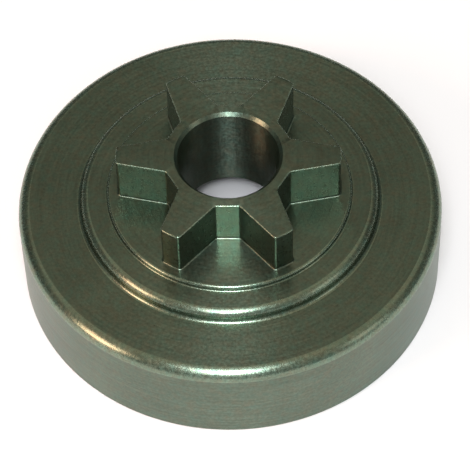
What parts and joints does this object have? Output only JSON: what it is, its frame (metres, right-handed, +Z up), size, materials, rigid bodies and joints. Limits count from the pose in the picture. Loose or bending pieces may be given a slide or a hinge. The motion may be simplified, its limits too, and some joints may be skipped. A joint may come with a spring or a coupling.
{
  "type": "chainsaw clutch drum",
  "caption": "Steel clutch drum: a shallow cup with a stepped face, carrying a spur chain sprocket round a bearing seat that is bored through the hub.",
  "frame": {"origin": "on the drum's axis, in the plane of the open rim that it stands on", "axes": "+Z up the axis, from the open rim towards the sprocket; +X along the middle of one tooth"},
  "size_m": [0.059, 0.059, 0.0236],
  "materials": {
    "steel": "dark oiled steel with fine turning marks"
  },
  "bodies": {
    "root": {"clutch_drum": "steel"}
  },
  "joints": []
}
